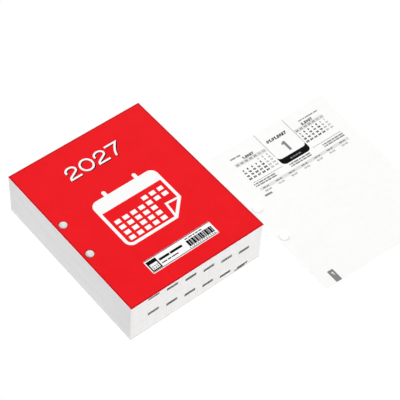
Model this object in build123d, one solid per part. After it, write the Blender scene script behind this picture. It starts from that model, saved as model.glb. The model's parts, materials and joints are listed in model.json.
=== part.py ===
from build123d import *
import os

# Tear-off day calendar: a block of day leaves glued along one edge between a printed cover and a
# backing board, punched with two holes for the posts of a desk stand, and its first day leaf torn
# off and lying beside it. Frame: X runs from the glued edge to the free edge, Y from the foot of a
# leaf to its head and Z up, with the origin under the middle of the block. Millimetres.

# Driving dimensions: leaves
leaf_width = 90.0
leaf_height = 110.0
leaf_caliper = 0.076  # thickness of one leaf of 60 g paper
section_gap = 0.04  # air between neighbouring sections

# Driving dimensions: cover, board and glued edge
cover_thickness = 0.3
cover_overhang = 0.4  # how far the cover stands out past the leaves on its three free sides
board_thickness = 0.55
board_overhang = 0.2
glue_film = 0.4  # padding glue brushed on the bound edge

# Driving dimensions: post holes
hole_diameter = 4.7
hole_spacing = 24.0
hole_margin = 4.1  # from the leaves' bound edge to the hole centres
hole_drop = 1.7  # from the middle of the leaf down to the middle of the pair

# Driving dimensions: label on the cover
label_length = 45.0
label_height = 9.4
label_thickness = 0.08
label_corner = 0.4
label_margin = 10.2  # from the leaves' foot up to the label's lower edge
label_shift = 0.3  # from the middle of the leaf towards the free edge

# Driving dimensions: the torn-off leaf
loose_leaf_gap = 15.8  # from the cover's free edge to the leaf's torn edge
loose_leaf_shift = 41.3  # from the block's middle towards the foot
loose_leaf_turn = -1.7  # degrees about the leaf's middle, as it was put down

# Leaves of a common year: the first day is torn off, the next ones turn one by one
month_days = {
    "january": 31,
    "february": 28,
    "march": 31,
    "april": 30,
    "may": 31,
    "june": 30,
    "july": 31,
    "august": 31,
    "september": 30,
    "october": 31,
    "november": 30,
    "december": 31,
}
single_days = [2, 3, 4]
torn_days = [1]

# Places worked out from the dimensions above
bound_x = -leaf_width / 2
free_x = leaf_width / 2
head_y = leaf_height / 2
foot_y = -leaf_height / 2
spine_x = bound_x - glue_film  # outer face of the glue film, where every section hinges
hole_x = bound_x + hole_margin
hole_rows = [hole_spacing / 2 - hole_drop, -hole_spacing / 2 - hole_drop]
loose_leaf_x = free_x + cover_overhang + loose_leaf_gap + leaf_width / 2
loose_leaf_place = Pos(loose_leaf_x, -loose_leaf_shift) * Rot(0, 0, loose_leaf_turn)


def plan_rectangle(low, high):
    """Rectangle in plan between two corners."""
    middle = Pos((low[0] + high[0]) / 2, (low[1] + high[1]) / 2)
    return middle * Rectangle(high[0] - low[0], high[1] - low[1])


def punched_sheet(left_x, overhang, thickness):
    """Flat sheet with the two post holes and one overhang on its three free sides."""
    low = (left_x, foot_y - overhang)
    high = (free_x + overhang, head_y + overhang)
    outline = plan_rectangle(low, high)
    for hole_y in hole_rows:
        outline -= Pos(hole_x, hole_y) * Circle(hole_diameter / 2)
    return extrude(outline, amount=thickness)


def backing_board():
    """Greyboard under the leaves, out to the face of the glue film."""
    return punched_sheet(spine_x, board_overhang, board_thickness)


def month_leaves(leaf_count):
    """One month's leaves, trimmed square and punched together."""
    return punched_sheet(bound_x, 0, leaf_count * leaf_caliper)


def month_glue(leaf_count):
    """The stretch of glue film that holds one month's leaves at their bound edge."""
    strip = plan_rectangle((spine_x, foot_y), (bound_x, head_y))
    return extrude(strip, amount=leaf_count * leaf_caliper)


def day_leaf():
    """One leaf whose bound edge is bedded in the glue film."""
    return punched_sheet(spine_x, 0, leaf_caliper)


def front_cover():
    """Printed card over the leaves, out to the face of the glue film."""
    return punched_sheet(spine_x, cover_overhang, cover_thickness)


def cover_label():
    """Paper label stuck on the lower half of the cover."""
    low = (label_shift - label_length / 2, foot_y + label_margin)
    high = (label_shift + label_length / 2, foot_y + label_margin + label_height)
    outline = plan_rectangle(low, high)
    outline = fillet(outline.vertices(), label_corner)
    return extrude(outline, amount=label_thickness)


def loose_day_leaf():
    """Torn-off leaf lying flat beside the block's free edge."""
    return loose_leaf_place * punched_sheet(bound_x, 0, leaf_caliper)


def bound_leaves(month):
    """How many leaves of a month turn together."""
    if month != "january":
        return month_days[month]
    return month_days[month] - len(single_days) - len(torn_days)


def stack_levels():
    """Height of each sheet's underside in the block, from the board up to the label."""
    levels = {"backing_board": 0}
    top = board_thickness
    for month in reversed(month_days):
        levels[month] = top + section_gap
        top = levels[month] + bound_leaves(month) * leaf_caliper
    for day in reversed(single_days):
        levels[day] = top + section_gap
        top = levels[day] + leaf_caliper
    levels["front_cover"] = top + section_gap
    levels["cover_label"] = levels["front_cover"] + cover_thickness
    return levels


def build():
    """Every piece of the calendar by name, in its place."""
    levels = stack_levels()
    pieces = {"backing_board": backing_board()}
    for month in month_days:
        count = bound_leaves(month)
        pieces[f"{month}_leaves"] = Pos(0, 0, levels[month]) * month_leaves(count)
        pieces[f"{month}_glue"] = Pos(0, 0, levels[month]) * month_glue(count)
    for day in single_days:
        pieces[f"day_leaf_{day}"] = Pos(0, 0, levels[day]) * day_leaf()
    pieces["front_cover"] = Pos(0, 0, levels["front_cover"]) * front_cover()
    pieces["cover_label"] = Pos(0, 0, levels["cover_label"]) * cover_label()
    pieces["loose_day_leaf"] = loose_day_leaf()
    return pieces


if __name__ == "__main__":
    os.makedirs("parts", exist_ok=True)
    for name, piece in build().items():
        export_step(piece, f"parts/{name}.step")
        print(name, piece.bounding_box().size)
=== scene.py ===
import calendar
import json
import math

import bpy
import numpy as np
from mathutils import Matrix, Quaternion, Vector


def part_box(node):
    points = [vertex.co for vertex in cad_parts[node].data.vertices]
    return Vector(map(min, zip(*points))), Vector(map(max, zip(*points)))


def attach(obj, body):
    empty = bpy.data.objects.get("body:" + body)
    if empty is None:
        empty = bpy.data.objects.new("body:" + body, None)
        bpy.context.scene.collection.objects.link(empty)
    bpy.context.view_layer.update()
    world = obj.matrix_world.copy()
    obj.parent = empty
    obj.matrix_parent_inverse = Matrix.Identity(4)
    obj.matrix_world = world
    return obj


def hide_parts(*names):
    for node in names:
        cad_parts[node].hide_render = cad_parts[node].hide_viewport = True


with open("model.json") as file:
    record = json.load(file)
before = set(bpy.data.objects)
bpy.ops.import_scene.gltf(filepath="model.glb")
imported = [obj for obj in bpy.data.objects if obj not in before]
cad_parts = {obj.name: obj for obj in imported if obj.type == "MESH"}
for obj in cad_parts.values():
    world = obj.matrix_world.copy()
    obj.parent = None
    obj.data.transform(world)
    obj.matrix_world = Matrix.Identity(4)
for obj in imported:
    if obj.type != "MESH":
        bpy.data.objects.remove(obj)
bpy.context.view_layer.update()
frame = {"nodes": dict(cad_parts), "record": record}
mm = 0.001
dice = np.random.default_rng(365)  # every uneven thing below draws from this, always in the same order

# What the frame gives: the post holes, the leaves' edges and the paper's caliper
mounts = {mount["name"]: mount for mount in frame["record"]["mounts"]}
holeSpots = np.array([mounts[f"{end}_post_hole"]["pos_m"][:2] for end in ("lower", "upper")])
looseSpots = np.array([mounts[f"loose_leaf_{end}_hole"]["pos_m"][:2] for end in ("lower", "upper")])
holeRadius = mounts["upper_post_hole"]["dims"]["r_mm"] * mm
leafLow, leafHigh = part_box("february_leaves")
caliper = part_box("day_leaf_2")[1].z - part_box("day_leaf_2")[0].z

# The year: its first day's leaf is torn off, and the next ones turn one by one
year = 2027
singleDays = (2, 3, 4)
monthNames = [name.lower() for name in calendar.month_name[1:]]
firstBoundDay = {name: singleDays[-1] + 1 if name == "january" else 1 for name in monthNames}
print("frame loaded:", len(frame["nodes"]), "nodes, caliper", round(caliper / mm, 3), "mm")


# A colour as it is read off a screen, 0 to 255, turned into the linear value a shader takes
def tint(red, green, blue):
    screen = np.array([red, green, blue]) / 255
    linear = np.where(screen <= 0.04045, screen / 12.92, ((screen + 0.055) / 1.055) ** 2.4)
    return (*linear.tolist(), 1.0)


# Materials: each input of a node gets a fixed value or another node's output
def setInputs(node, inputs):
    for name, value in inputs.items():
        if isinstance(value, bpy.types.NodeSocket):
            node.id_data.links.new(value, node.inputs[name])
        else:
            node.inputs[name].default_value = value


def addNode(tree, kind, inputs=None, **settings):
    made = tree.nodes.new(kind)
    for name, value in settings.items():
        setattr(made, name, value)
    setInputs(made, inputs or {})
    return made


# One step of arithmetic on numbers or outputs
def reckon(tree, kind, *terms):
    return addNode(tree, "ShaderNodeMath", dict(enumerate(terms)), operation=kind).outputs[0]


# A value that runs from 0 to full, mapped to run between two ends
def fromTo(tree, source, ends, full=1.0):
    inputs = {"Value": source, "From Max": full, "To Min": ends[0], "To Max": ends[1]}
    return addNode(tree, "ShaderNodeMapRange", inputs).outputs["Result"]


def newFinish(name, look):
    made = bpy.data.materials.new(name)
    made.use_nodes = True
    shader = made.node_tree.nodes["Principled BSDF"]
    setInputs(shader, {"Roughness": look["roughness"], "Specular IOR Level": look["specular"]})
    return made, made.node_tree, shader


# Noise on Object coordinates; stretch below 1 on an axis draws the grain out along it
def grain(tree, scale, stretch=(1, 1, 1), detail=4.0):
    place = addNode(tree, "ShaderNodeTexCoord").outputs["Object"]
    drawn = addNode(tree, "ShaderNodeMapping", {"Scale": stretch, "Vector": place}).outputs["Vector"]
    inputs = {"Scale": scale, "Detail": detail, "Roughness": 0.6, "Vector": drawn}
    return addNode(tree, "ShaderNodeTexNoise", inputs).outputs["Fac"]


def colourRamp(tree, source, stops):
    ramp = addNode(tree, "ShaderNodeValToRGB", {"Fac": source})
    spare = ramp.color_ramp.elements
    spare[0].position, spare[1].position = stops[0][0], stops[-1][0]
    spare[0].color, spare[1].color = stops[0][1], stops[-1][1]
    for position, colour in stops[1:-1]:
        spare.new(position).color = colour
    return ramp.outputs["Color"]


# Two colours multiplied or mixed by a share
def blendColours(tree, kind, share, first, second):
    inputs = {"Fac": share, "Color1": first, "Color2": second}
    return addNode(tree, "ShaderNodeMixRGB", inputs, blend_type=kind).outputs["Color"]


def relief(tree, look, height):
    inputs = {"Strength": look["relief"], "Distance": look["depth"], "Height": height}
    return addNode(tree, "ShaderNodeBump", inputs).outputs["Normal"]


# Paper, card and ink: faint clouds between two tones, and fine fibres in relief
def fibrous(name, look):
    made, tree, shader = newFinish(name, look)
    cloud = grain(tree, look["cloudScale"], detail=look["details"][0])
    tones = colourRamp(tree, cloud, [(0.3, look["dark"]), (0.7, look["light"])])
    fibres = grain(tree, look["fibreScale"], detail=look["details"][1])
    setInputs(shader, {"Base Color": tones, "Normal": relief(tree, look, fibres)})
    return made


# Leaf faces: uncoated paper
paperLook = dict(roughness=0.86, specular=0.2, dark=tint(250, 250, 249), light=tint(253, 253, 252),
                 cloudScale=220, fibreScale=2600, details=(6, 5), relief=0.25, depth=0.02 * mm)
# Uncoated white card: the cover's cut edges and its inside
coreLook = dict(roughness=0.85, specular=0.2, dark=tint(246, 246, 245), light=tint(254, 254, 253),
                cloudScale=500, fibreScale=1800, details=(6, 5), relief=0.3, depth=0.03 * mm)
# Label: coated paper, whiter and smoother than the leaves
labelLook = dict(roughness=0.5, specular=0.3, dark=tint(250, 250, 250), light=tint(254, 254, 254),
                 cloudScale=300, fibreScale=2200, details=(4, 3), relief=0.1, depth=0.02 * mm)
# Inks: the paper takes them up a little unevenly, by the mottle to either side of their colour on the screen
inkLook = dict(specular=0.05, mottle=4, cloudScale=1100, fibreScale=2600, details=(5, 5),
               relief=0.15, depth=0.01 * mm)
# Colour on the screen and roughness
inkTones = {
    "white": ((253, 253, 252), 0.45),
    "shade": ((72, 2, 7), 0.45),
    "black": ((4, 4, 4), 0.6),
    "dark": ((64, 63, 63), 0.7),
    "grey": ((136, 136, 136), 0.7),
    "pale": ((176, 176, 176), 0.75),
    "band": ((226, 226, 226), 0.75),
}


def ink(name):
    screen, roughness = inkTones[name]
    steps = inkLook["mottle"] * np.array([[-1], [1]])
    dark, light = [tint(*tone) for tone in np.clip(screen + steps, 0, 255)]
    return fibrous(f"ink{name.capitalize()}", dict(inkLook, roughness=roughness, dark=dark, light=light))


edgeLook = dict(roughness=0.9, specular=0.15, streakDark=tint(249, 249, 249), streakLight=tint(255, 255, 255),
                streakScale=1500, streakStretch=(1, 1, 0.03), relief=0.3, depth=0.03 * mm)


# Trimmed leaf edges: each leaf has its own tone, and the knife has drawn faint lines down the whole stack
def trimmedEdge(name, dark, light):
    made, tree, shader = newFinish(name, edgeLook)
    tone = addNode(tree, "ShaderNodeAttribute", attribute_name="leafTone").outputs["Fac"]
    leaves = colourRamp(tree, tone, [(0.0, dark), (1.0, light)])
    knife = grain(tree, edgeLook["streakScale"], edgeLook["streakStretch"], 3)
    streaks = colourRamp(tree, knife, [(0.35, edgeLook["streakDark"]), (0.6, edgeLook["streakLight"])])
    edge = blendColours(tree, "MULTIPLY", 1.0, leaves, streaks)
    setInputs(shader, {"Base Color": edge, "Normal": relief(tree, edgeLook, knife)})
    return made


# rim is the colour of the painted shade line near the cover's rims and holes; its inset, width and noise follow
# it
coverLook = dict(roughness=0.42, specular=0.12, red=tint(238, 19, 29), deep=tint(233, 15, 25), pressScale=90,
                 rim=tint(136, 6, 14), shadeLineInset=0.52 * mm, rimWidth=0.54 * mm, holeShadeInset=0.35 * mm,
                 rimShadeBreakup=(0.6, 1.0), rimShadeBreakupScale=300, smudge=(0.36, 0.5), smudgeScale=45,
                 coatScale=1500, relief=0.06, depth=0.02 * mm)


# Printed face of the cover: solid red under a satin coat, with painted shade: a thin darker line a little in
# from its rims and round its holes stands in for the shade at the cut edges. The way to the nearest rim is the
# least of half size minus the way from the middle, and the way to a hole's edge plus the line's inset round the
# hole. The painted shade line fades with the way from its own middle, and noise breaks it up.
def coverRed(halfSize):
    made, tree, shader = newFinish("coverRed", coverLook)
    press = grain(tree, coverLook["pressScale"], detail=5)
    red = colourRamp(tree, press, [(0.3, coverLook["deep"]), (0.65, coverLook["red"])])
    place = addNode(tree, "ShaderNodeTexCoord").outputs["Object"]
    axes = addNode(tree, "ShaderNodeSeparateXYZ", {"Vector": place})
    gaps = [reckon(tree, "SUBTRACT", half, reckon(tree, "ABSOLUTE", axes.outputs[axis]))
            for axis, half in zip("XY", halfSize)]
    flat = addNode(tree, "ShaderNodeVectorMath", {0: place, 1: (1, 1, 0)}, operation="MULTIPLY").outputs[0]
    for spot in holeSpots:
        way = addNode(tree, "ShaderNodeVectorMath", {0: flat, 1: (*spot, 0)}, operation="DISTANCE")
        gaps.append(reckon(tree, "SUBTRACT", way.outputs["Value"], holeRadius - coverLook["holeShadeInset"]))
    nearest = gaps[0]
    for gap in gaps[1:]:
        nearest = reckon(tree, "MINIMUM", nearest, gap)
    # Painted shade: a darker line along the rims and round the holes, broken up by noise
    aside = reckon(tree, "ABSOLUTE", reckon(tree, "SUBTRACT", nearest, coverLook["shadeLineInset"]))
    line = fromTo(tree, aside, (1.0, 0.0), coverLook["rimWidth"])
    rimShadeBreakup = fromTo(tree, grain(tree, coverLook["rimShadeBreakupScale"]), coverLook["rimShadeBreakup"])
    face = blendColours(tree, "MIX", reckon(tree, "MULTIPLY", line, rimShadeBreakup), red, coverLook["rim"])
    smudge = fromTo(tree, grain(tree, coverLook["smudgeScale"], detail=3), coverLook["smudge"])
    coat = relief(tree, coverLook, grain(tree, coverLook["coatScale"], detail=3))
    setInputs(shader, {"Base Color": face, "Roughness": smudge, "Normal": coat})
    return made


glueLook = dict(roughness=0.45, specular=0.35, dark=tint(240, 239, 240), light=tint(252, 251, 252),
                lineScale=2400, lineStretch=(1, 0.01, 1), brushScale=420, brushStretch=(1, 0.06, 1),
                filmDark=tint(246, 246, 246), filmLight=tint(255, 255, 255), sheen=(0.36, 0.62),
                relief=0.35, depth=0.06 * mm)


# Padding glue: a thin milky film, satin, with brush marks along it and the leaves' edges showing through
def paddingGlue():
    made, tree, shader = newFinish("paddingGlue", glueLook)
    lines = grain(tree, glueLook["lineScale"], glueLook["lineStretch"], 2)
    leaves = colourRamp(tree, lines, [(0.3, glueLook["dark"]), (0.7, glueLook["light"])])
    brush = grain(tree, glueLook["brushScale"], glueLook["brushStretch"])
    film = colourRamp(tree, brush, [(0.25, glueLook["filmDark"]), (0.7, glueLook["filmLight"])])
    milky = blendColours(tree, "MULTIPLY", 1.0, leaves, film)
    sheen = fromTo(tree, brush, glueLook["sheen"])
    setInputs(shader, {"Base Color": milky, "Roughness": sheen, "Normal": relief(tree, glueLook, brush)})
    return made


boardLook = dict(roughness=0.94, specular=0.15, dark=tint(206, 204, 201), middle=tint(223, 221, 218),
                 light=tint(234, 232, 229), fleckScale=1400, relief=0.4, depth=0.05 * mm)


# Greyboard: pressed waste paper, a pale grade, with darker and lighter flecks
def greyboard():
    made, tree, shader = newFinish("greyboard", boardLook)
    flecks = grain(tree, boardLook["fleckScale"], detail=8)
    stops = [(0.25, boardLook["dark"]), (0.5, boardLook["middle"]), (0.75, boardLook["light"])]
    tones = colourRamp(tree, flecks, stops)
    setInputs(shader, {"Base Color": tones, "Normal": relief(tree, boardLook, flecks)})
    return made


inkNames = list(inkTones)
inks = [ink(name) for name in inkNames]
paper = fibrous("leafPaper", paperLook)
leafEdge = trimmedEdge("leafEdge", tint(234, 232, 232), tint(250, 248, 248))
tabEdge = trimmedEdge("tabEdge", tint(44, 41, 40), tint(68, 64, 63))
# Painted light: the punched hole walls take a whiter copy of the trimmed leaf edge, which lightens the deep
# holes
punched = trimmedEdge("punchedWallPaintedLight", tint(250, 250, 250), tint(255, 255, 255))
core = fibrous("coverCore", coreLook)
glue = paddingGlue()
leafFinishes = [paper, paper, leafEdge, tabEdge, punched]
print("finishes made:", len(bpy.data.materials))


# A shape is points, faces and a role for each face, which picks the material
def joinShapes(shapes):
    shifts = np.cumsum([0] + [len(points) for points, faces, roles in shapes])
    points = np.concatenate([shape[0] for shape in shapes])
    faces = [(np.asarray(face) + shift).tolist() for shape, shift in zip(shapes, shifts) for face in shape[1]]
    roles = np.concatenate([shape[2] for shape in shapes])
    return points, faces, roles


def addPiece(name, shape, materials, body, node=None, tones=None):
    points, faces, roles = shape
    mesh = bpy.data.meshes.new(name)
    mesh.from_pydata(points.tolist(), [], faces)
    for material in materials:
        mesh.materials.append(material)
    mesh.polygons.foreach_set("material_index", np.asarray(roles, np.int32))
    if tones is not None:
        leafTone = mesh.attributes.new("leafTone", "FLOAT", "FACE")
        leafTone.data.foreach_set("value", np.broadcast_to(tones, len(faces)).astype(np.float32))
    mesh.update()
    piece = bpy.data.objects.new(name, mesh)
    bpy.context.scene.collection.objects.link(piece)
    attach(piece, body)
    if node:
        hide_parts(node)


# Points of a circle of radius 1; the first lies so many half turns back from the x axis
def unitRing(sides, back):
    turn = np.pi * (2 * np.arange(sides) / sides - back)
    return np.column_stack([np.cos(turn), np.sin(turn)])


# Punched sheets in a box, each with its own heights and cut short at its free edge, foot and head.
# One plan of eight outer points and two rings serves them all. The line through the hole middles cuts a face
# in two, so each half has one outline that runs round the rings. A rim is the rounding that the punch leaves
# round a hole, from the face in: the way out from the hole's edge, and the drop.
# Roles: 0 top, 1 underside, 2 outer edge, 3 edge of the month tab, 4 hole wall.
def punchedSheets(low, high, short, bottoms, tops, tab, ringSides=16, rim=((0, 0),)):
    bottoms, tops = np.atleast_1d(bottoms, tops)
    count = len(bottoms)
    holeX, left = holeSpots[0][0], low.x
    right, foot, head = high.x - short[..., 0], low.y + short[..., 1], high.y - short[..., 2]
    plan = [(left, foot), (holeX, foot), (tab[0], foot), (tab[1], foot), (right, foot),
            (right, head), (holeX, head), (left, head)]
    outer = np.stack([np.stack(np.broadcast_arrays(x, y, np.zeros(count))[:2], -1) for x, y in plan], 1)
    circle = unitRing(ringSides, 0.5)
    radii = [(holeRadius, bottoms)] + [(holeRadius + out, tops - drop) for out, drop in rim]
    rings = [((holeSpots[:, None] + radius * circle).reshape(1, -1, 2), level) for radius, level in radii]
    layers = [(outer, bottoms), rings[0], (outer, tops), *rings[1:]]
    points = np.concatenate([
        np.concatenate(np.broadcast_arrays(flat[..., :1], flat[..., 1:], level[:, None, None]), -1)
        for flat, level in layers], 1)

    corners, half = len(plan), ringSides // 2
    size = corners + 2 * ringSides
    ringStarts = [corners, corners + ringSides]
    upLeft = [start + (-step) % ringSides for start in ringStarts for step in range(half + 1)]
    downRight = [start + half - step for start in reversed(ringStarts) for step in range(half + 1)]
    faces = [[0, 1, *upLeft, 6, 7], [1, 2, 3, 4, 5, 6, *downRight]]
    sheet = [([index + size for index in face], 0) for face in faces]
    sheet += [(face[::-1], 1) for face in faces]
    for start in range(corners):
        stop = (start + 1) % corners
        sheet.append(([start, stop, stop + size, start + size], 3 if start == 2 else 2))
    belts = size + 2 * ringSides * np.arange(len(rim))
    for ring in ringStarts:
        for step in range(ringSides):
            start, stop = ring + step, ring + (step + 1) % ringSides
            sheet += [([start + a, stop + a, stop + b, start + b], 0) for a, b in zip(belts, belts[1:])]
            sheet.append(([stop, start, start + belts[-1], stop + belts[-1]], 4))
    shifts = points.shape[1] * np.arange(count)
    allFaces = [row for face, role in sheet for row in (np.array(face) + shifts[:, None]).tolist()]
    roles = np.repeat([role for face, role in sheet], count)
    return points.reshape(-1, 3), allFaces, roles


# Faces of a grid of points: a quad for each cell, and the points round the outside in order
def gridFaces(rows, columns):
    index = np.arange(rows * columns).reshape(rows, columns)
    quads = np.stack([index[:-1, :-1], index[:-1, 1:], index[1:, 1:], index[1:, :-1]], -1)
    loop = np.concatenate([index[0, :-1], index[:-1, -1], index[-1, :0:-1], index[:0:-1, 0]])
    return quads, loop


# Closed slab between two grids of the same shape: the front grid, the back one turned over, and a rim
def slabBetween(front, back):
    quads, loop = gridFaces(*front.shape[:2])
    quads = quads.reshape(-1, 4)
    ahead = np.roll(loop, -1)
    under = front[..., 0].size
    rim = np.column_stack([ahead, loop, loop + under, ahead + under])
    faces = np.concatenate([quads, quads[:, ::-1] + under, rim])
    roles = np.repeat([0, 1, 2], [len(quads), len(quads), len(rim)])
    return np.concatenate([front.reshape(-1, 3), back.reshape(-1, 3)]), faces.tolist(), roles


# Print is drawn with ribbons: a left and a right edge, point by point, in millimetres on the leaf.
# A stretch has the corners a and b on the left edge, and d and c opposite them on the right.
def ribbonSolid(left, right, closed, low, high):
    count = len(left)
    flat = np.concatenate([left, right]) * mm
    points = np.concatenate([np.column_stack([flat, np.full(2 * count, level)]) for level in (low, high)])
    a = np.arange(count if closed else count - 1)
    b = (a + 1) % count
    c, d, top = b + count, a + count, 2 * count
    faces = [np.column_stack([a, d, c, b]) + top, np.column_stack([a, b, c, d]),
             np.column_stack([b, a, a + top, b + top]), np.column_stack([d, c, c + top, d + top])]
    if not closed:
        last = count - 1
        ends = [[0, count, count + top, top], [last + count, last, last + top, last + count + top]]
        faces.append(np.array(ends))
    return points, np.concatenate(faces)


# Long runs are cut into steps, so that print on a curved leaf follows it
def shortRuns(mark, longest):
    name, left, right, closed = mark
    if closed:
        return mark
    gaps = np.linalg.norm(np.diff(np.stack([left, right]), axis=1), axis=2).max(0)
    counts = np.ceil(gaps / longest).astype(int)
    known = np.arange(len(left))
    steps = [place + np.arange(count) / count for place, count in enumerate(counts)]
    steps = np.concatenate([*steps, known[-1:]])
    left, right = [np.column_stack([np.interp(steps, known, values) for values in edge.T])
                   for edge in (left, right)]
    return name, left, right, closed


# Marks end at three slightly different heights in turn, so that strokes that cross don't share a plane
def printShape(marks, low, high):
    rises = 1 + 0.1 * (np.arange(len(marks)) % 3)
    shapes = []
    for (name, left, right, closed), rise in zip(marks, rises):
        points, faces = ribbonSolid(left, right, closed, low, low + (high - low) * rise)
        shapes.append((points, faces, np.full(len(faces), inkNames.index(name))))
    return joinShapes(shapes)


# Pen line: the path moved half the width to either side, along the given ways to its left or else along the
# mitred normals of its two segments; cap lengthens an open path at both ends
def penLine(name, path, width, closed=False, cap=0.0, sides=None):
    if not closed:
        first, last = path[0] - path[1], path[-1] - path[-2]
        path = path.copy()
        path[0] += first / np.linalg.norm(first) * cap
        path[-1] += last / np.linalg.norm(last) * cap
    if sides is None:
        ahead = np.roll(path, -1, 0) - path
        if not closed:
            ahead[-1] = ahead[-2]
        ahead /= np.linalg.norm(ahead, axis=1, keepdims=True)
        normal = np.column_stack([-ahead[:, 1], ahead[:, 0]])
        before = np.roll(normal, 1, 0)
        if not closed:
            before[0] = normal[0]
        sides = (normal + before) / (1 + np.sum(normal * before, 1, keepdims=True))
    return name, path + sides * width / 2, path - sides * width / 2, closed


def bar(name, x0, y0, x1, y1):
    return name, np.array([[x0, y1], [x1, y1]]), np.array([[x0, y0], [x1, y0]]), False


# A level bar by its ends, middle and height
def strip(name, x0, x1, middle, height):
    return bar(name, x0, middle - height / 2, x1, middle + height / 2)


# A line of small text as a row of bars, with lengths by their shares
def wordBars(name, x0, x1, middle, height, shares, gap=0.5):
    spans = np.array(shares) / sum(shares) * (x1 - x0 - gap * (len(shares) - 1))
    starts = x0 + np.cumsum([0, *(spans[:-1] + gap)])
    return [strip(name, start, start + span, middle, height) for start, span in zip(starts, spans)]


# Arc of an ellipse from one angle to another, with a full turn in so many steps
def arc(x, y, radiusX, radiusY, start, stop, fullTurn):
    steps = max(2, math.ceil(abs(stop - start) / 360 * fullTurn))
    turn = np.radians(np.linspace(start, stop, steps + 1))
    return np.column_stack([x + radiusX * np.cos(turn), y + radiusY * np.sin(turn)])


# Numerals as pen paths in a square of side 1: points, their ways to the left and whether the path is closed.
# On an arc the way to the left leads out from the ellipse's middle or in towards it, so that both edges of a
# broad stroke are ellipses round the same middle.
def numeralPaths(fullTurn):
    def run(*corners):
        return np.array(corners, float), None, False

    def bend(*arcs):
        points = [arc(*one, fullTurn) for one in arcs]
        sides = [(path - one[:2]) / one[2:4] * np.sign(one[4] - one[5]) for path, one in zip(points, arcs)]
        return np.vstack(points), np.vstack(sides), False

    def ring(*ellipse):
        points, sides, closed = bend((*ellipse, 90, 450))
        return points[:-1], sides[:-1], True

    stem = np.linspace(0.6, 0, max(2, fullTurn // 6))
    six = [ring(0.5, 0.32, 0.5, 0.32), bend((0.86, 0.34, 0.86, 0.66, 180, 104))]
    return {
        "0": [ring(0.5, 0.5, 0.5, 0.5)],
        "1": [run((1, 0), (1, 1)), run((0, 0.76), (0.5, 0.86))],
        "2": [bend((0.5, 0.71, 0.48, 0.29, 186, -45), (0.39, 0, 0.39, 0.27, 125, 180)), run((0, 0), (1, 0))],
        "3": [bend((0.47, 0.745, 0.44, 0.255, 160, -80)), bend((0.46, 0.26, 0.5, 0.26, 80, -155))],
        "4": [run((0.76, 0), (0.76, 1)), run((0.62, 0.92), (0, 0.28), (1, 0.28))],
        "5": [run((0.92, 1), (0.2, 1), (0.14, 0.52)), bend((0.46, 0.32, 0.52, 0.32, 130, -150))],
        "6": six,
        "7": [run((0, 1), (1, 1), *zip(0.32 + 0.68 * stem ** 1.5, stem))],
        "8": [ring(0.5, 0.755, 0.4, 0.245), ring(0.5, 0.26, 0.5, 0.26)],
        "9": [(1 - points, -sides, closed) for points, sides, closed in six],
        ":": [run((0.5, 0.26), (0.5, 0.3)), run((0.5, 0.7), (0.5, 0.74))],
        ".": [run((0.5, 0), (0.5, 0.02))],
    }


# The large 1 has a short flag, thinner than its stem
smallPaths, largePaths = numeralPaths(12), numeralPaths(48)
flag = np.array([[0.04, 0.9], [0.48, 0.97]])
largePaths["1"] = [smallPaths["1"][0], (flag, None, False, 0.7)]
smallWidths = {**dict.fromkeys("023456789", 0.7), "1": 0.54, ":": 0.38, ".": 0.32}


# A number as pen lines, with its middle and foot given; widths and gap are shares of its height, lean slants
# it as italics do, and a path may thin its stroke
def number(name, text, middle, foot, height, stroke, paths=smallPaths, widths=smallWidths, gap=0.08, lean=0):
    spans = [widths[sign] * height for sign in text]
    pen = middle - (sum(spans) + gap * height * (len(text) - 1)) / 2
    slant = np.array([[1, 0], [lean, 1]])
    marks = []
    for sign, span in zip(text, spans):
        for points, sides, closed, *thinner in paths[sign]:
            path = (points * (span - stroke, height - stroke) + stroke / 2) @ slant + (pen, foot)
            width = math.prod(thinner, start=stroke)
            leftward = None if sides is None else sides @ slant
            marks.append(penLine(name, path, width, closed, width / 2, leftward))
        pen += span + gap * height
    return marks


# Camera: where it stands and the spot on the table that it looks at, in millimetres, and its roll in degrees
cameraSet = dict(spot=(-308.554, -386.819, 661.052), aim=(44.06, -4.42, 0.0), roll=4.19,
                 lens=132.131, sensor=36, clip=(0.01, 20))


def setCamera():
    view = bpy.data.cameras.new("photoCamera")
    view.lens, view.sensor_width = cameraSet["lens"], cameraSet["sensor"]
    view.clip_start, view.clip_end = cameraSet["clip"]
    camera = bpy.data.objects.new("photoCamera", view)
    spot, aim = Vector(cameraSet["spot"]) * mm, Vector(cameraSet["aim"]) * mm
    level = (aim - spot).to_track_quat("-Z", "Y")
    camera.location = spot
    camera.rotation_mode = "QUATERNION"
    camera.rotation_quaternion = level @ Quaternion((0, 0, 1), math.radians(cameraSet["roll"]))
    bpy.context.scene.collection.objects.link(camera)
    bpy.context.scene.camera = camera


setCamera()

# Studio: a pale floor, an even white surround, a lamp beside the camera and two wide weak ones, in front and
# behind; a lamp has the way to it, its strength and its spread in degrees
studio = dict(
    floorDrop=0.05 * mm, floorHalf=2.0, floorBounce=0.6, floorWhite=1.02, floorShade=0.95, shadowShare=0.2,
    surround=0.17, lamps=[
        ((-0.419, -0.455, 0.786), 2.62, 6),
        ((0, -0.99, 0.14), 0.76, 60),
        ((0.667, 0.667, 0.333), 0.94, 100),
    ],
)


# Rays that show a background: straight from the camera, off gloss and through clear pieces
def backgroundRays(tree):
    path = addNode(tree, "ShaderNodeLightPath")
    seen = path.outputs["Is Camera Ray"]
    for name in ("Is Glossy Ray", "Is Transmission Ray"):
        seen = reckon(tree, "MAXIMUM", seen, path.outputs[name])
    return seen


# One shader for the light that reaches the object and another for the background that shows
def twoFaced(tree, lit, seen):
    inputs = {0: backgroundRays(tree), 1: lit.outputs[0], 2: seen.outputs[0]}
    return addNode(tree, "ShaderNodeMixShader", inputs).outputs[0]


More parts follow.
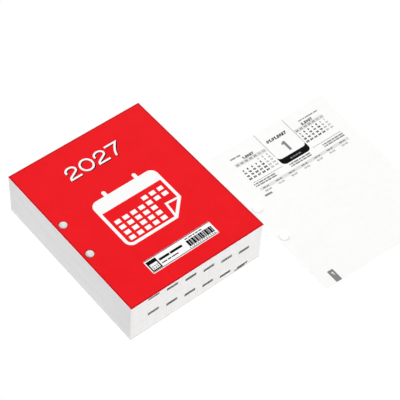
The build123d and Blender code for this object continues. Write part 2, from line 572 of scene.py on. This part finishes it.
def setStudio():
    half, level = studio["floorHalf"], -studio["floorDrop"]
    mesh = bpy.data.meshes.new("floor")
    corners = [(-half, -half, level), (half, -half, level), (half, half, level), (-half, half, level)]
    mesh.from_pydata(corners, [], [(0, 1, 2, 3)])
    floor = bpy.data.objects.new("floor", mesh)
    bpy.context.scene.collection.objects.link(floor)
    made = bpy.data.materials.new("floor")
    made.use_nodes = True
    tree = made.node_tree
    tree.nodes.clear()
    bounce, shaded = [addNode(tree, "ShaderNodeBsdfDiffuse", {"Color": (*[studio[name]] * 3, 1)})
                      for name in ("floorBounce", "floorShade")]
    white = addNode(tree, "ShaderNodeEmission", {"Color": (1, 1, 1, 1), "Strength": studio["floorWhite"]})
    inputs = {0: studio["shadowShare"], 1: white.outputs[0], 2: shaded.outputs[0]}
    shown = addNode(tree, "ShaderNodeMixShader", inputs)
    addNode(tree, "ShaderNodeOutputMaterial", {"Surface": twoFaced(tree, bounce, shown)})
    mesh.materials.append(made)

    world = bpy.data.worlds.new("surround")
    world.use_nodes = True
    bpy.context.scene.world = world
    tree = world.node_tree
    tree.nodes.clear()
    lit, seen = [addNode(tree, "ShaderNodeBackground", {"Color": (1, 1, 1, 1), "Strength": strength})
                 for strength in (studio["surround"], 1.0)]
    addNode(tree, "ShaderNodeOutputWorld", {"Surface": twoFaced(tree, lit, seen)})

    for source, strength, spread in studio["lamps"]:
        lamp = bpy.data.lights.new("softLamp", "SUN")
        lamp.energy, lamp.angle = strength, math.radians(spread)
        placed = bpy.data.objects.new("softLamp", lamp)
        placed.rotation_mode = "QUATERNION"
        placed.rotation_quaternion = Vector(source).to_track_quat("Z", "Y")
        bpy.context.scene.collection.objects.link(placed)
    bpy.context.scene.view_settings.view_transform = "Standard"


setStudio()
print("camera and studio set")

# Month tabs: six places along the foot, used twice over a year; the outermost leaves of a month have no dark
# edge, and the last leaves of the year have theirs a little nearer to the bound edge
tabSet = dict(first=-30.2, step=12.58, length=7.4, depth=4.2, places=6, bare=0.05, endLeaves=12, endShift=2.0)


def tabSpan(month):
    middle = tabSet["first"] + tabSet["step"] * (month % tabSet["places"])
    return middle - tabSet["length"] / 2, middle + tabSet["length"] / 2


# Leaf stacks: every leaf is a sheet a little thinner than its pitch, trimmed a hair short on its free sides
stackSet = dict(fill=(0.86, 0.96), trimSpread=0.008, sectionSpread=0.04, toneMiddle=0.55, toneSpread=0.22,
                singleTone=0.6)


def leafStack(month, name):
    low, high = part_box(f"{name}_leaves")
    count = round((high.z - low.z) / caliper)
    bottoms = low.z + caliper * np.arange(count)
    tops = bottoms + caliper * dice.uniform(*stackSet["fill"], count)
    tops[-1] = high.z
    section = dice.uniform(0, stackSet["sectionSpread"], 3)
    short = (section + np.abs(dice.normal(0, stackSet["trimSpread"], (count, 3)))) * mm
    ending = (name == "december") & (np.arange(count) < tabSet["endLeaves"])
    tab = (np.array(tabSpan(month))[:, None] - tabSet["endShift"] * ending) * mm
    shape = punchedSheets(low, high, short, bottoms, tops, tab)
    leaf = np.tile(np.arange(count), len(shape[1]) // count)
    fromMiddle = np.abs(leaf - (count - 1) / 2)
    bare = (fromMiddle > (0.5 - tabSet["bare"]) * count) & (name != "december")
    shape[2][bare & (shape[2] == 3)] = 2
    tones = np.clip(dice.normal(stackSet["toneMiddle"], stackSet["toneSpread"], count), 0, 1)
    addPiece(f"{name}Leaves", shape, leafFinishes, name, f"{name}_leaves", tones[leaf])
    return count


leafCount = sum(leafStack(month, name) for month, name in enumerate(monthNames))
print("leaf stacks made:", leafCount, "leaves")

# Glue film: the outer face of each stretch sinks by a sum of waves, long ones down the edge and short ones
# across; sizes in millimetres, rates in radians a millimetre
glueSet = dict(sink=0.05, step=1.0, across=0.25, waves=14, swell=2.2,
               alongRates=(0.02, 0.25), acrossRates=(0.3, 2.4))
waveRanges = (glueSet["alongRates"], glueSet["acrossRates"], (0, 2 * np.pi))
wavePlan = np.column_stack([dice.uniform(*ends, glueSet["waves"]) for ends in waveRanges])


def glueStretch(name):
    low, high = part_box(f"{name}_glue")
    ys = np.linspace(low.y, high.y, round((high.y - low.y) / mm / glueSet["step"]) + 1)
    zs = np.linspace(low.z, high.z, round((high.z - low.z) / mm / glueSet["across"]) + 1)
    z, y = np.meshgrid(zs, ys)
    phase = wavePlan[:, 0] * y[..., None] / mm + wavePlan[:, 1] * z[..., None] / mm + wavePlan[:, 2]
    sunk = glueSet["sink"] * mm * (1 + np.sin(phase).mean(-1) * glueSet["swell"]).clip(0, 2)
    outer = np.stack([low.x + sunk, y, z], -1)
    inner = np.stack([np.full_like(y, high.x), y, z], -1)
    shape = slabBetween(inner, outer)
    addPiece(f"{name}Glue", shape, [glue, glue, glue], name, f"{name}_glue")


for name in monthNames:
    glueStretch(name)
print("glue film made")

# Day page, in millimetres from the middle of the leaf; a text line has its ends, middle, height and shares
page = dict(
    inkDepth=0.012, bandDepth=0.006, headY=55.0, footY=-55.0,
    card=dict(left=-7.6, right=13.9, horn=34.3, foot=26.6, inside=31.2, corner=3.0, line=0.24),
    date=dict(middle=2.3, foot=44.9, height=2.3, stroke=0.65, gap=0.05, lean=0.2),
    weekday=(-0.8, 7.1, 28.65, 0.85, (1, 1, 1, 1)),
    day=dict(middle=2.98, foot=33.55, height=7.8, stroke=1.75), oneWidth=0.423,
    grids=[dict(middle=-20.0, pitch=3.27, title=43.9, header=42.2, first=39.3),
           dict(middle=25.35, pitch=3.14, title=44.1, header=42.5, first=39.7)],
    weekPitch=2.36, gridFigure=1.45, gridStroke=0.44, titleFigure=1.95, titleStroke=0.54,
    header=2.8, dayName=(1.8, 1.5), dayNameGap=0.3,
    tabFigure=2.3, tabStroke=0.42, tabGap=1.5,
    notes=[(-31.2, -23.7, 47.6, 1.0, (3, 2)), (21.2, 35.8, 47.8, 0.85, (2, 1, 4, 2)),
           (-31.2, -25.9, 15.2, 1.3, (1,))],
    rules=[(-30.6, -8.5, 26.7), (15.1, 36.8, 27.0)], rule=0.3,
    rows=[(-31.2, -15.6), (-4.5, 11.1), (21.1, 36.7)], rowLevels=(25.1, 23.5),
    rowHeight=1.0, rowShares=(1, 2, 4, 2, 3, 4), rowGap=0.4,
    hours=dict(left=-30.4, right=37.2, level=20.3, height=2.3, first=-26.3, step=9.75, places=7,
               firstHour=8, hourStep=2, wordReach=2.2, wordHeight=0.9, wordShares=(3, 2),
               figureFoot=17.2, figure=1.3, stroke=0.28),
)


# Black foot of the day card: between an inner and an outer line, both with round corners
def cardFoot():
    card = page["card"]
    left, right, horn, corner = card["left"], card["right"], card["horn"], card["corner"]
    edges = []
    for level in (card["inside"], card["foot"]):
        turns = [arc(left + corner, level + corner, corner, corner, 180, 270, 32),
                 arc(right - corner, level + corner, corner, corner, 270, 360, 32)]
        edges.append(np.vstack([[[left, horn]], *turns, [[right, horn]]]))
    return "black", *edges, False


# Month grid: title, header band and the days by weeks; weekends and the year's first day are paler
def monthGrid(grid, month):
    shownYear, shownMonth = year + month // 12, month % 12 + 1
    first, days = calendar.monthrange(shownYear, shownMonth)
    pitch, figure, stroke = grid["pitch"], page["gridFigure"], page["gridStroke"]
    left = grid["middle"] - 3.5 * pitch
    marks = number("black", f"{shownMonth}.{shownYear}", grid["middle"], grid["title"],
                   page["titleFigure"], page["titleStroke"])
    marks.append(strip("band", left, left + 7 * pitch, grid["header"], page["header"]))
    for day in range(1, days + 1):
        row, column = divmod(first + day - 1, 7)
        foot = grid["first"] - row * page["weekPitch"] - figure / 2
        tone = "pale" if column > 4 or (shownMonth, day) == (1, 1) else "black"
        marks += number(tone, str(day), left + (column + 0.5) * pitch, foot, figure, stroke)
    return marks


def hourMiddles():
    hours = page["hours"]
    return [hours["first"] + place * hours["step"] for place in range(hours["places"])]


# Marks that lie on the bands, the tab and the card's foot, one ink depth higher
def bandMarks(month, tab):
    figure = page["tabFigure"]
    foot = page["footY"] + tab[2] - page["tabGap"] - figure
    marks = number("white", str(month + 1), (tab[0] + tab[1]) / 2, foot, figure, page["tabStroke"])
    width, height = page["dayName"]
    for grid in page["grids"]:
        for column in range(7):
            middle = grid["middle"] + (column - 3) * grid["pitch"]
            marks += wordBars("pale" if column > 4 else "grey", middle - width / 2, middle + width / 2,
                              grid["header"], height, (1, 1), page["dayNameGap"])
    hours = page["hours"]
    for middle in hourMiddles():
        marks += wordBars("grey", middle - hours["wordReach"], middle + hours["wordReach"], hours["level"],
                          hours["wordHeight"], hours["wordShares"])
    return marks + wordBars("grey", *page["weekday"])


# All other marks of a page
def pageMarks(month, day, tab):
    card, hours = page["card"], page["hours"]
    marks = [cardFoot(), bar("grey", tab[0], page["footY"], tab[1], page["footY"] + tab[2])]
    for x in (card["left"], card["right"]):
        marks.append(bar("dark", x - card["line"] / 2, card["horn"], x + card["line"] / 2, page["headY"]))
    marks += number("black", f"{day:02d}.{month + 1:02d}.{year}", **page["date"])
    dayWidths = {**smallWidths, "1": page["oneWidth"]}
    marks += number("grey", str(day), **page["day"], paths=largePaths, widths=dayWidths)
    for shift, grid in enumerate(page["grids"]):
        marks += monthGrid(grid, month + shift)
    for note in page["notes"]:
        marks += wordBars("grey", *note)
    for x0, x1, level in page["rules"]:
        marks.append(strip("grey", x0, x1, level, page["rule"]))
    for x0, x1 in page["rows"]:
        for level in page["rowLevels"]:
            marks += wordBars("grey", x0, x1, level, page["rowHeight"], page["rowShares"], page["rowGap"])
    marks.append(strip("band", hours["left"], hours["right"], hours["level"], hours["height"]))
    for place, middle in enumerate(hourMiddles()):
        text = f"{hours['firstHour'] + hours['hourStep'] * place:02d}:00"
        marks += number("grey", text, middle, hours["figureFoot"], hours["figure"], hours["stroke"])
    return marks


def pagePrint(month, day, tab, level, longest=200):
    lower = [shortRuns(mark, longest) for mark in pageMarks(month, day, tab)]
    upper = [shortRuns(mark, longest) for mark in bandMarks(month, tab)]
    middle = level + page["inkDepth"] * mm
    top = middle + page["bandDepth"] * mm
    return joinShapes([printShape(lower, level, middle), printShape(upper, middle, top)])


for month, name in enumerate(monthNames):
    tab = (*tabSpan(month), tabSet["depth"])
    shape = pagePrint(month, firstBoundDay[name], tab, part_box(f"{name}_leaves")[1].z)
    addPiece(f"{name}Print", shape, inks, name)

for day in singleDays:
    node = f"day_leaf_{day}"
    low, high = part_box(node)
    short = np.abs(dice.normal(0, stackSet["trimSpread"], 3)) * mm
    tab = tabSpan(0)
    shape = punchedSheets(low, high, short, low.z, high.z, np.array(tab) * mm)
    addPiece(f"dayLeaf{day}", shape, leafFinishes, f"leaf_{day}", node, stackSet["singleTone"])
    shape = pagePrint(0, day, (*tab, tabSet["depth"]), high.z)
    addPiece(f"dayLeaf{day}Print", shape, inks, f"leaf_{day}")
print("day pages printed")

# Torn-off leaf: laid down turned, its free side and its torn side lifting a little off the table.
# Round each hole lie rings at shares of the rim's width, in a square cell that reaches past them.
looseSet = dict(tab=(-37.5, -33.4, 8.4), lift=1.1, liftFrom=-5.0, headShare=0.55,
                boundLift=1.56, boundFrom=-15.0, rimWidth=1.2, rimDrop=0.95, rimShares=(1, 0.75, 0.2, 0),
                rimPower=1.15, cellShare=1.35, cells=(40, 24), tornDepth=0.12, longestRun=2.5)
blockMiddle, looseMiddle = holeSpots.mean(0), looseSpots.mean(0)
across = (looseSpots[1] - looseSpots[0]) / np.linalg.norm(looseSpots[1] - looseSpots[0])
looseTurn = np.array([[across[1], across[0]], [-across[0], across[1]]])


# Leaf plan to table: turned and moved so that its holes meet the frame's, then raised by the square of the
# way from the line where the lift starts to the free edge, more at the head than at the foot, and in the same
# way towards the torn edge, evenly
def layLoose(points):
    laid = points.copy()
    laid[:, :2] = (points[:, :2] - blockMiddle) @ looseTurn.T + looseMiddle
    start = looseSet["liftFrom"] * mm
    way = np.clip((points[:, 0] - start) / (leafHigh.x - start), 0, None)
    alongHead = (points[:, 1] - leafLow.y) / (leafHigh.y - leafLow.y)
    laid[:, 2] += looseSet["lift"] * mm * way ** 2 * (1 - looseSet["headShare"] * (1 - alongHead))
    start = looseSet["boundFrom"] * mm
    back = np.clip((start - points[:, 0]) / (start - leafLow.x), 0, None)
    laid[:, 2] += looseSet["boundLift"] * mm * back ** 2
    return laid


# Grid lines of the leaf: even steps outside the square cells round the holes, and none inside them
def gridLines(start, stop, squares, cells):
    stations = [start, *np.ravel(squares), stop]
    pitch = (stop - start) / cells
    ends = list(zip(stations[::2], stations[1::2]))
    return np.concatenate([np.linspace(a, b, max(1, round((b - a) / pitch)) + 1) for a, b in ends])


# Grid sheet: quads on the grid, and in each square cell four outlines between its corners and a quarter of a
# ring. Inside that ring the rim of the hole dips to the punched edge by a power of the way in.
def looseLeaf(ringSides=32):
    rimWidth = looseSet["rimWidth"] * mm
    cell = holeRadius * looseSet["cellShare"] + rimWidth
    squares = np.stack([holeSpots - cell, holeSpots + cell], 1)
    xs = gridLines(leafLow.x, leafHigh.x, squares[:1, :, 0], looseSet["cells"][0])
    ys = gridLines(leafLow.y, leafHigh.y, squares[:, :, 1], looseSet["cells"][1])
    x, y = np.meshgrid(xs, ys)
    x[:, 0] += dice.uniform(0, looseSet["tornDepth"], len(ys)) * mm
    shares = np.array(looseSet["rimShares"])
    radii = holeRadius + rimWidth * shares
    rings = (holeSpots[:, None, None] + radii[:, None, None] * unitRing(ringSides, 0.75)).reshape(-1, 2)
    flat = np.concatenate([np.column_stack([x.ravel(), y.ravel()]), rings])
    dips = looseSet["rimDrop"] * mm * (1 - shares) ** looseSet["rimPower"]
    dips = np.concatenate([np.zeros(x.size), np.tile(np.repeat(dips, ringSides), len(holeSpots))])
    size = len(flat)
    quads, loop = gridFaces(*x.shape)
    keep = np.ones(quads.shape[:2], bool)
    column = int(np.searchsorted(xs, holeSpots[0][0])) - 1
    belts = x.size + np.arange(len(rings)).reshape(len(holeSpots), len(radii), ringSides)
    faces, walls = [], []
    for belt, spot in zip(belts, holeSpots):
        row = int(np.searchsorted(ys, spot[1])) - 1
        keep[row, column] = False
        ahead = np.roll(belt, -1, 1)
        faces += np.stack([belt[:-1], ahead[:-1], ahead[1:], belt[1:]], -1).reshape(-1, 4).tolist()
        corners = quads[row, column]
        quarter = ringSides // 4
        for side in range(4):
            inner = np.roll(belt[0], -side * quarter)[:quarter + 1]
            faces.append([corners[side], corners[(side + 1) % 4], *inner[::-1]])
        walls.append(np.column_stack([ahead[-1], belt[-1]]))
    walls.append(np.column_stack([loop, np.roll(loop, -1)]))
    faces = quads[keep].tolist() + faces
    sides = np.concatenate(walls)
    rim = np.column_stack([sides, sides[:, ::-1] + size])
    upper = [[point + size for point in face] for face in faces]
    allFaces = upper + [face[::-1] for face in faces] + rim.tolist()
    roles = np.repeat([0, 1, 2], [len(faces), len(faces), len(rim)])
    low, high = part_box("loose_day_leaf")
    points = np.concatenate([np.column_stack([flat, level - dips]) for level in (low.z, high.z)])
    return layLoose(points), allFaces, roles


addPiece("looseDayLeaf", looseLeaf(), leafFinishes[:3], "loose_leaf", "loose_day_leaf",
         stackSet["singleTone"])
points, faces, roles = pagePrint(0, 1, looseSet["tab"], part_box("loose_day_leaf")[1].z, looseSet["longestRun"])
addPiece("looseDayLeafPrint", (layLoose(points), faces, roles), inks, "loose_leaf")
print("torn-off leaf made")

# Cover: year numerals over their drop shade, and a plain month-grid sign, in millimetres on the cover
coverSet = dict(
    inkDepth=0.02, rim=[(0.6, 0), (0.4, 0.02), (0.2, 0.09), (0.07, 0.17), (0, 0.25)], ringSides=40,
    year=dict(middle=-1.05, foot=31.6, height=9.25, stroke=1.22, gap=0.15),
    yearWidths={"2": 0.832, "0": 0.973, "7": 0.892}, shade=(0.32, -0.66),
    sign=dict(left=-21.0, right=21.0, foot=-22.6, head=11.4, corner=3.6, line=1.9, fold=10.0, foldLine=1.4,
              flap=(1.2, 0.6), header=8.2, rings=(-10.5, 10.5), ringWidth=2.4, ringReach=4.4,
              dayLeft=-16.2, dayTop=-1.6, dayPitch=(5.4, 4.3), daySize=(3.5, 2.7), dayClear=(1.0, 2.5)),
)


# Sign: a page with round corners, a folded lower corner, a solid head with two rings, and a month of squares
def signMarks():
    sign = coverSet["sign"]
    left, right, foot, head = sign["left"], sign["right"], sign["foot"], sign["head"]
    corner, fold, inset = sign["corner"], sign["fold"], sign["line"] / 2
    outline = np.vstack([
        arc(left + corner, foot + corner, corner, corner, 270, 180, 48),
        arc(left + corner, head - corner, corner, corner, 180, 90, 48),
        arc(right - corner, head - corner, corner, corner, 90, 0, 48),
        [[right, foot + fold], [right - fold, foot]],
    ])
    marks = [penLine("white", outline, sign["line"], True)]
    tip = [right - fold + sign["flap"][0], foot + fold + sign["flap"][1]]
    flap = np.array([[right, foot + fold], tip, [right - fold, foot]])
    marks.append(penLine("white", flap, sign["foldLine"]))
    marks.append(bar("white", left + inset, head - sign["header"], right - inset, head - inset))
    for x in sign["rings"]:
        half = sign["ringWidth"] / 2
        top = arc(x, head + sign["ringReach"] - half, half, half, 180, 0, 48)
        steps = len(top) // 2
        marks.append(("white", np.vstack([[[x - half, head + inset]], top[:steps]]),
                      np.vstack([[[x + half, head + inset]], top[:steps:-1]]), False))
    first, days = calendar.monthrange(year, 1)
    pitchX, pitchY = sign["dayPitch"]
    sizeX, sizeY = sign["daySize"]
    slack, reach = sign["dayClear"]
    for day in range(1, days + 1):
        row, column = divmod(first + day - 1, 7)
        x, y = sign["dayLeft"] + column * pitchX, sign["dayTop"] - row * pitchY
        if x + y < right + foot + fold + slack and y < foot + fold + reach and x > right - fold - reach:
            continue  # under the folded corner
        marks.append(bar("white", x - sizeX / 2, y - sizeY / 2, x + sizeX / 2, y + sizeY / 2))
    return marks


def yearMarks(name):
    return number(name, str(year), **coverSet["year"], paths=largePaths, widths=coverSet["yearWidths"])


def frontCover():
    low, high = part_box("front_cover")
    tab, rim = np.array(tabSpan(0)) * mm, np.array(coverSet["rim"]) * mm
    shape = punchedSheets(low, high, np.zeros(3), low.z, high.z, tab, coverSet["ringSides"], rim)
    finishes = [coverRed((high.x, high.y)), core, core, core, core]
    addPiece("frontCover", shape, finishes, "cover", "front_cover")
    depth = coverSet["inkDepth"] * mm
    shift = np.array(coverSet["shade"])
    shade = [(name, left + shift, right + shift, closed) for name, left, right, closed in yearMarks("shade")]
    lettering = joinShapes([printShape(shade, high.z, high.z + depth),
                            printShape(yearMarks("white") + signMarks(), high.z, high.z + 2 * depth)])
    addPiece("coverPrint", lettering, inks, "cover")


frontCover()
print("cover made")

# Label: a small plain sign, lines of text bars, figures and a bar pattern, in millimetres on the cover
labelSet = dict(
    inkDepth=0.012, corner=0.4, rim=0.4, headInset=0.12, footInset=0.45,
    sign=dict(left=-21.2, foot=-43.4, width=5.6, height=6.4, line=0.8, head=2.0,
              dayStart=(1.0, 0.9), dayPitch=(1.45, 1.3), daySize=(0.75, 0.7), days=(3, 2)),
    words=[(-14.3, 1.2, -39.3, 1.5, (5, 6)), (-14.3, -3.2, -41.9, 0.7, (3, 2, 4))],
    bars=dict(left=4.35, right=21.6, foot=-42.55, head=-38.35, module=0.34, pairs=40),
    caption=(4.7, 16.3, -37.2, 0.65, (3, 4, 2, 3, 3)),
    figures=dict(text="0123456789012", middle=12.4, foot=-43.75, height=0.95, stroke=0.28, gap=0.8),
)


# Bar pattern: dark stripes of one to four modules, drawn by lot, with bare ones of a half or three quarters
# of a module between them; what fits into the width is spread out to fill it
def barPattern():
    bars = labelSet["bars"]
    left, right, pairs = bars["left"], bars["right"], bars["pairs"]
    dark, bare = dice.integers(1, 5, pairs), dice.integers(2, 4, pairs) / 4
    stripes = np.column_stack([dark, bare]).ravel() * bars["module"]
    ends = left + np.cumsum(stripes)
    starts = ends - stripes
    inside = (np.arange(2 * pairs) % 2 == 0) & (ends < right)
    spread = (right - left) / (ends[inside].max() - left)
    places = left + (np.column_stack([starts, ends])[inside] - left) * spread
    return [bar("black", start, bars["foot"], end, bars["head"]) for start, end in places]


# Small sign: a frame with a solid head and two rows of day squares
def labelSign():
    sign = labelSet["sign"]
    x0, y0 = sign["left"], sign["foot"]
    x1, y1 = x0 + sign["width"], y0 + sign["height"]
    marks = [penLine("black", np.array([[x0, y0], [x0, y1], [x1, y1], [x1, y0]]), sign["line"], True)]
    marks.append(bar("black", x0, y1 - sign["head"], x1, y1))
    (startX, startY), (pitchX, pitchY), (sizeX, sizeY) = sign["dayStart"], sign["dayPitch"], sign["daySize"]
    for row in range(sign["days"][1]):
        for column in range(sign["days"][0]):
            x, y = x0 + startX + pitchX * column, y0 + startY + pitchY * row
            marks.append(bar("black", x, y, x + sizeX, y + sizeY))
    return marks


def coverLabel():
    low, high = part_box("cover_label")
    corner = labelSet["corner"] * mm
    turns = [(high.x - corner, high.y - corner, 0), (low.x + corner, high.y - corner, 90),
             (low.x + corner, low.y + corner, 180), (high.x - corner, low.y + corner, 270)]
    outline = np.vstack([arc(x, y, corner, corner, start, start + 90, 24) for x, y, start in turns])
    count = len(outline)
    points = np.concatenate([np.column_stack([outline, np.full(count, level)]) for level in (low.z, high.z)])
    index = np.arange(count)
    ahead = np.roll(index, -1)
    rim = np.column_stack([index, ahead, ahead + count, index + count])
    faces = [(index + count).tolist(), index[::-1].tolist(), *rim.tolist()]
    roles = np.array([0, 0] + [1] * count)
    finishes = [fibrous("labelPaper", labelLook), core]
    addPiece("coverLabel", (points, faces, roles), finishes, "cover", "cover_label")

    left, foot, right, head = (value / mm for value in (low.x, low.y, high.x, high.y))
    inset, rimWidth = labelSet["headInset"], labelSet["rim"]
    marks = [bar("black", left + inset, level, right - inset, level + rimWidth)
             for level in (foot + labelSet["footInset"], head - inset - rimWidth)]
    marks += labelSign()
    for words in labelSet["words"]:
        marks += wordBars("black", *words)
    marks += wordBars("dark", *labelSet["caption"])
    marks += number("dark", **labelSet["figures"])
    marks += barPattern()
    shape = printShape(marks, high.z, high.z + labelSet["inkDepth"] * mm)
    addPiece("labelPrint", shape, inks, "cover")


coverLabel()
print("label made")

board = frame["nodes"]["backing_board"]
for slot in board.material_slots:
    slot.link = "OBJECT"
    slot.material = greyboard()
print("board finished")
